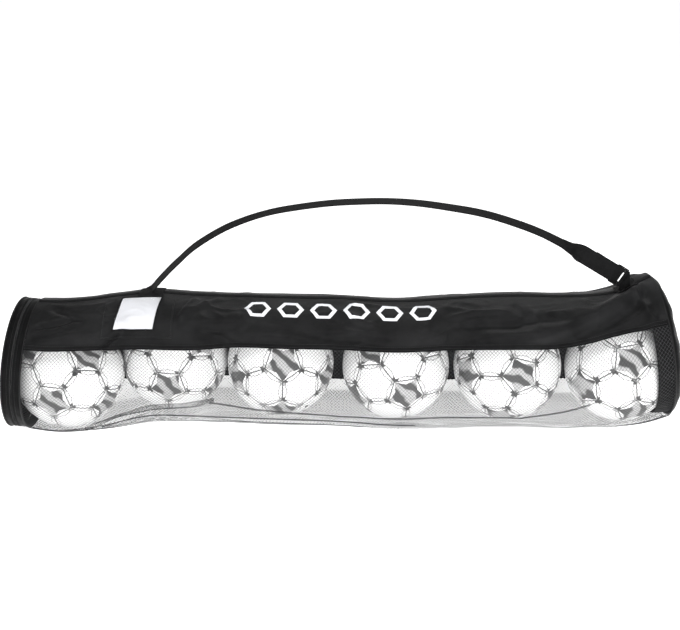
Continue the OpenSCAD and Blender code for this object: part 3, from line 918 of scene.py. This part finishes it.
# ---- name window and motif
SKEW = 0.00027
LABEL = (  # part, kind, places and degrees, height, thickness, material, points each way, skew
    ("pocket", "cloth", (-0.462, -0.332, 101.0, 141.0), 0.0011, 0.0008, NYLON, 60, 40, 0.0),
    ("card", "sheet", (-0.4350, -0.3646, 101.5, 134.0), 0.0022, 0.0004, CARD, 40, 34, SKEW),
    ("window", "sheet", (-0.4370, -0.3626, 100.9, 134.6), 0.0030, 0.0003, CLEAR, 40, 36, SKEW))
HEX_X = (-0.165, -0.099, -0.033, 0.033, 0.099, 0.165)
HEX_DEG = 111.0
HEX_OUT, HEX_IN = 0.027, 0.0185
HEX_POINTS = 36


def border_line(x0, x1, a0, a1):
    """A closed rectangle of places and degrees."""
    x = np.r_[np.linspace(x0, x1, 40), np.full(30, x1), np.linspace(x1, x0, 40), np.full(30, x0)]
    a = np.r_[np.full(40, a0), np.linspace(a0, a1, 30), np.full(40, a1), np.linspace(a1, a0, 30)]
    return x, a


def label():
    for part, kind, (x0, x1, a0, a1), out, thick, mat, nx, na, skew in LABEL:
        node = "label_" + part
        cloth_patch(node + "_" + kind, x0, x1, a0, a1, out, thick, mat, nx=nx, na=na, skew=skew,
                    replaces=[node], slot="nylon" if mat is NYLON else node)
        if mat is NYLON:
            border = border_line(x0 + 0.002, x1 - 0.002, a0 + 0.8, a1 - 0.8)
            stitches("label_pocket_stitches", [skin_line(*border, 0.0020)], "bag", "nylon")
    x, a = border_line(x0, x1, a0, a1)
    line = tube(x - SKEW * (a - (a0 + a1) / 2), a, 0.0032)[:-1]
    make("window_binding", *sweep(line, 0.0009, 6, closed=True), BINDING, "bag", slot="binding")


def motif():
    """A plain row of hexagon rings in white print."""
    t = np.arange(HEX_POINTS) * 2 * pi / HEX_POINTS
    edge = cos(pi / 6) / np.cos((t % (pi / 3)) - pi / 6)
    tt, rr = np.meshgrid(t, np.linspace(HEX_IN, HEX_OUT, 5), indexing="ij")
    reach = rr * edge[:, None]
    deg = HEX_DEG - reach * np.sin(tt) / ARC
    for k, middle in enumerate(HEX_X):
        x = middle + reach * np.cos(tt)
        slab("hexagon_%d" % (k + 1), tube(x, deg, 0.00145), tube(x, deg, 0.0009), PRINT, "bag",
             np.stack([x, deg * ARC], -1), wrap_u=True, slot="nylon")


# ---- shoulder strap and buckle
HINGE_LEFT = Vector((-0.361, 0.024, 0.287))
STRAP_END = (0.575, -0.005)
BUCKLE = Vector((0.559, 0.00145, 0.298))
BUCKLE_ANGLE = radians(211)
STRAP_RUN = 0.083
TAIL_START, TAIL_END = 0.0165, 0.062
# The strap's turn about its own length: places along the bag, degrees
TWIST = ((-0.396, -0.387, -0.150, 0.100, 0.400, 0.440, 0.462, 0.486),
         (0.0, 15.0, 7.0, 7.0, 15.0, 19.0, 32.0, 90.0))


def at_buckle(x, y, z):
    """From the buckle's frame: X up along the strap, Z to the front."""
    up = Vector((cos(BUCKLE_ANGLE), 0, -sin(BUCKLE_ANGLE)))
    side = Vector((sin(BUCKLE_ANGLE), 0, cos(BUCKLE_ANGLE)))
    return BUCKLE + up * x + side * y + Vector((0, -1, 0)) * z


ACROSS = np.array(at_buckle(0, -1, 0) - BUCKLE)


def strap_y(x):
    x0, y0, _ = HINGE_LEFT
    return y0 + (STRAP_END[1] - y0) * (x - x0) / (STRAP_END[0] - x0)


def ribbon(name, centre, across, face, width, thick, mat, body, **kw):
    """Webbing: a flat band with rounded, slightly thicker woven edges."""
    c, a, f = (np.asarray(v, float) for v in (centre, across, face))
    n = len(c)
    width, thick = np.broadcast_to(width, n), np.broadcast_to(thick, n)
    w = np.r_[np.linspace(-1, 1, 15), np.linspace(1, -1, 15)]
    edge = np.where(np.abs(w) > 0.999, 0.25, np.where(np.abs(w) > 0.84, 1.12, 1.0))
    h = edge * np.r_[np.ones(15), -np.ones(15)]
    section = (c[:, None, :] + a[:, None, :] * (w[None, :, None] * width[:, None, None] / 2)
               + f[:, None, :] * (h[None, :, None] * thick[:, None, None] / 2))
    step = distances(c)
    uv = np.stack(np.broadcast_arrays(w[None, :] * 0.018, step[:, None]), -1)
    m = len(w)
    faces = list(grid_faces(n, m, wrap_v=True))
    faces += [tuple(range(m))[::-1], tuple(range((n - 1) * m, n * m))]
    return make(name, section.reshape(-1, 3), faces, mat, body, uv=uv.reshape(-1, 2), angle=50, **kw)


def even(points, count):
    """count points evenly along a smooth curve through the rows of points."""
    p = np.asarray(points, float)
    t = distances(p)
    fine = np.linspace(0, t[-1], count)
    return np.stack([spline(t, p[:, k], fine) for k in range(p.shape[1])], 1)


def strap():
    foot = [(-0.397, 0.2590), (-0.391, 0.2592), (-0.386, 0.2600), (-0.3815, 0.2640), (-0.3735, 0.2735),
            (-0.3645, 0.2835)]
    run_top = at_buckle(STRAP_RUN, 0, 0)
    arch = even(foot + STRAP_PATH + [(run_top.x, run_top.z)], 260)
    centre, across, face, width, thick = [], [], [], [], []
    for (x, z), (dx, dz) in zip(arch, units(np.gradient(arch, axis=0))):
        turn = radians(np.interp(x, *TWIST))
        up = np.array([-dz, 0, dx])
        side = np.array([0, 1, 0])
        slack = 0.0006 * sin(x * 24) * (1 - smooth(0.25, 0.40, x)) * smooth(-0.33, -0.25, x)
        y = strap_y(x)
        across.append(side * cos(turn) + up * sin(turn))
        face.append(up * cos(turn) - side * sin(turn))
        centre.append(np.array([x, y, z]) + face[-1] * slack)
        thick.append(0.0019 - 0.0004 * smooth(0.45, 0.49, x))
    mid = LOOP_IN + LOOP_T / 2
    local = [(s, mid) for s in np.linspace(STRAP_RUN - 0.004, 0.002, 24)]
    local += [(-mid * sin(t), mid * cos(t)) for t in np.linspace(0, pi, 22)]
    local += [(0.002, -mid), (0.004, -0.0038), (0.0090, -0.0038), (0.0132, -0.0038), (0.0145, -0.0031),
              (0.0158, -0.0025), (0.019, -0.0023), (0.030, -0.0023), (0.042, -0.0023)]
    for (lx, lz), (ex, ez) in zip(local, units(np.gradient(np.array(local), axis=0))):
        centre.append(np.array(at_buckle(lx, 0, lz)))
        across.append(ACROSS)
        face.append(np.array(at_buckle(ez, 0, -ex) - BUCKLE))
        thick.append(0.0015 if lz > 0 or lx < 0.002 else 0.0009)
    fix = [np.array(face[0])]
    for f in face[1:]:
        fix.append(f if f.dot(fix[-1]) >= 0 else -f)
    wide = WEB_W - 0.0006
    band = ribbon("strap_band", centre, across, fix, wide, thick, WEBBING, None,
                  replaces=["strap_webbing", "strap_loop", "left_stub"], slot="webbing")
    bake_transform(band)

    run = np.linspace(TAIL_START, TAIL_END, 30)
    lift = 0.0014 * smooth(0.028, TAIL_END, run) ** 1.5
    hem = TAIL_END - np.array([0.012, 0.006, 0.0])
    for name, places, off, thick, node in (("strap_tail_band", run, lift, 0.0014, ["strap_tail"]),
                                           ("strap_tail_hem", hem, [0.0030] * 3, 0.0013, ())):
        c = [at_buckle(s, 0, -mid - k) for s, k in zip(places, off)]
        ribbon(name, c, [ACROSS] * len(c), [(0.0, 1.0, 0.0)] * len(c), wide, thick, WEBBING, "tail",
               slot="webbing", replaces=node)
    lines = []
    for s in (TAIL_END - 0.0105, TAIL_END - 0.003):
        p = np.array([at_buckle(s, y, -mid - 0.0037) for y in np.linspace(-0.016, 0.016, 20)])
        lines.append((p, np.tile([0.0, 1.0, 0.0], (20, 1))))
    stitches("strap_tail_stitches", lines, "tail", "webbing")


def patches():
    """The two sewn patches that hold the strap's ends to the ridge."""
    for side, x0, x1 in (("left", -0.405, -0.358), ("right", 0.566, 0.612)):
        name = side + "_strap_patch"
        cloth_patch(name, x0, x1, 79.5, 100.5, 0.0024, 0.0012, BINDING, nx=24, na=18,
                    replaces=[side + "_patch"], slot="binding")
        lines = [skin_line(*border_line(x0 + 0.003, x1 - 0.003, 81, 99), 0.0037)]
        x, a = np.linspace(x0 + 0.003, x1 - 0.003, 30), np.linspace(81, 99, 30)
        lines += [skin_line(way, a, 0.0037) for way in (x, x[::-1])]
        stitches(name + "_stitches", lines, "bag", "binding")


def box_part(centre, half, bevel):
    """A box with rounded edges in the buckle's frame."""
    bm = bmesh.new()
    bmesh.ops.create_cube(bm, size=1.0)
    for v in bm.verts:
        v.co = Vector([2 * h * k for h, k in zip(half, v.co)])
    bmesh.ops.bevel(bm, geom=list(bm.edges), offset=bevel, segments=4, profile=0.5, affect="EDGES")
    bm.verts.index_update()
    verts = [at_buckle(*(Vector(centre) + v.co)) for v in bm.verts]
    faces = [tuple(v.index for v in f.verts) for f in bm.faces]
    bm.free()
    return verts, faces


def buckle():
    half_w = WEB_W / 2 + 0.0004
    parts = []
    for sign in (-1, 1):
        parts.append(box_part((-0.0005, sign * (half_w + 0.0010), 0), (0.0125, 0.0011, 0.0017), 0.0010))
        parts.append(box_part((-0.0060, sign * 0.0145, 0), (0.0021, 0.0042, 0.0014), 0.0007))
        for s in (-BAR_S, 0.0, BAR_S):
            parts.append(box_part((s, sign * (half_w - 0.0002), 0), (0.0019, 0.0012, 0.0016), 0.0007))
    for s, r in ((-BAR_S, 0.00175), (0.0, 0.00175), (BAR_S, 0.001)):
        line = [at_buckle(s, y, 0) for y in np.linspace(-half_w - 0.0002, half_w + 0.0002, 40)]
        ridged = [r * (1.0 if k % 3 else 0.93) for k in range(40)]
        parts.append(sweep(line, ridged, 16))
    make("ladder_lock", *joined(parts), PLASTIC, "buckle", replaces=["buckle_frame", "buckle_bars"],
         slot="buckle", angle=45)

    r = 0.0026
    path = [(-0.0165, 0.0012), (-0.0150, 0.0021), (-0.0130, r)]
    path += [(-BAR_S + r * sin(t), r * cos(t)) for t in np.linspace(0, pi, 14)]
    path += [(-0.0130, -r), (-0.0150, -0.0021), (-0.0165, -0.0012)]
    face = [at_buckle(-ez, 0, ex) - BUCKLE for ex, ez in units(np.gradient(np.array(path), axis=0))]
    ribbon("buckle_tab_loop", [at_buckle(x, 0, z) for x, z in path], [ACROSS] * len(path), face,
           WEB_W - 0.001, 0.0014, WEBBING, "buckle", replaces=["tab_loop"], slot="webbing")

    nu, nv = 16, 18
    t, v = np.meshgrid(np.linspace(-1, 1, nu), np.linspace(0, 1, nv), indexing="ij")
    top = np.array([[at_buckle(-0.0155, -k * (WEB_W / 2 - 0.0006), 0) for k in row] for row in t])
    seam_x = 0.5845 + 0.0145 * t
    seam = tube(seam_x, 90.0, 0.0030)
    mid = 0.5 * top + 0.5 * seam
    mid[..., 0] += 0.001
    q = v[..., None]
    sheet_mid = top * (1 - q) ** 2 + 2 * mid * q * (1 - q) + seam * q**2
    y = np.array([0, 1.0, 0])
    half = (0.0019 + 0.0006 * np.sin(v * pi) * np.cos(t * 1.4))[..., None]
    uv = np.stack([t * 0.018, v * 0.03], -1)
    tab = slab("buckle_tab", sheet_mid - y * half, sheet_mid + y * half, WEBBING, None, uv,
               replaces=["right_stub"], slot="webbing")
    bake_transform(tab)


# ---- carried-over parts
def dress(names, mat):
    for name in names:
        ob = frame["nodes"][name]
        ob.data.materials.clear()
        ob.data.materials.append(mat)


def main():
    stage()
    bag_cloth()
    mid_net = (FRONT_EDGE + 360 + BACK_EDGE) / 2
    net_piece("net_front", FRONT_EDGE, mid_net, "mesh_panel")
    net_piece("net_back", mid_net, 360 + BACK_EDGE)
    # bands of doubled net as painted shade below the balls
    net_shade_tucks()
    for index in range(len(BALLS)):
        ball(index)
    valves()
    mouth()
    far_end()
    label()
    motif()
    strap()
    patches()
    buckle()
    dress(["mouth_piping", "flap_piping"], PIPING)
    dress(["zip_stops", "slider_plate", "slider_ears", "slider_pin", "pull_tab"], METAL)


main()
